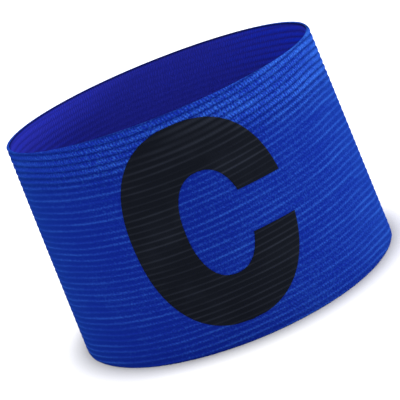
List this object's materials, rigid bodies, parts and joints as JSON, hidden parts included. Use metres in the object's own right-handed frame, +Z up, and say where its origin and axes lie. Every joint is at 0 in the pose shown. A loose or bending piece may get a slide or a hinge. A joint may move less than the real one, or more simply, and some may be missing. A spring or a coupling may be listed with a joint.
{
  "type": "captain armband",
  "caption": "Closed loop of blue ribbed elastic webbing that slips over the upper arm, with a large black block letter printed on its front.",
  "frame": {"origin": "centre of the loop on the surface that its lower edge stands on", "axes": "+Z up along the axis of the loop, towards its upper edge; +X to the right as the printed letter is read; the printed front faces -Y"},
  "size_m": [0.1014, 0.0979, 0.068],
  "materials": {
    "webbing": "matte ribbed elastic webbing with a soft sheen on the ribs",
    "print": "matte black print that follows the ribs"
  },
  "bodies": {
    "root": {"webbing_band": "webbing", "printed_letter": "print"}
  },
  "joints": []
}
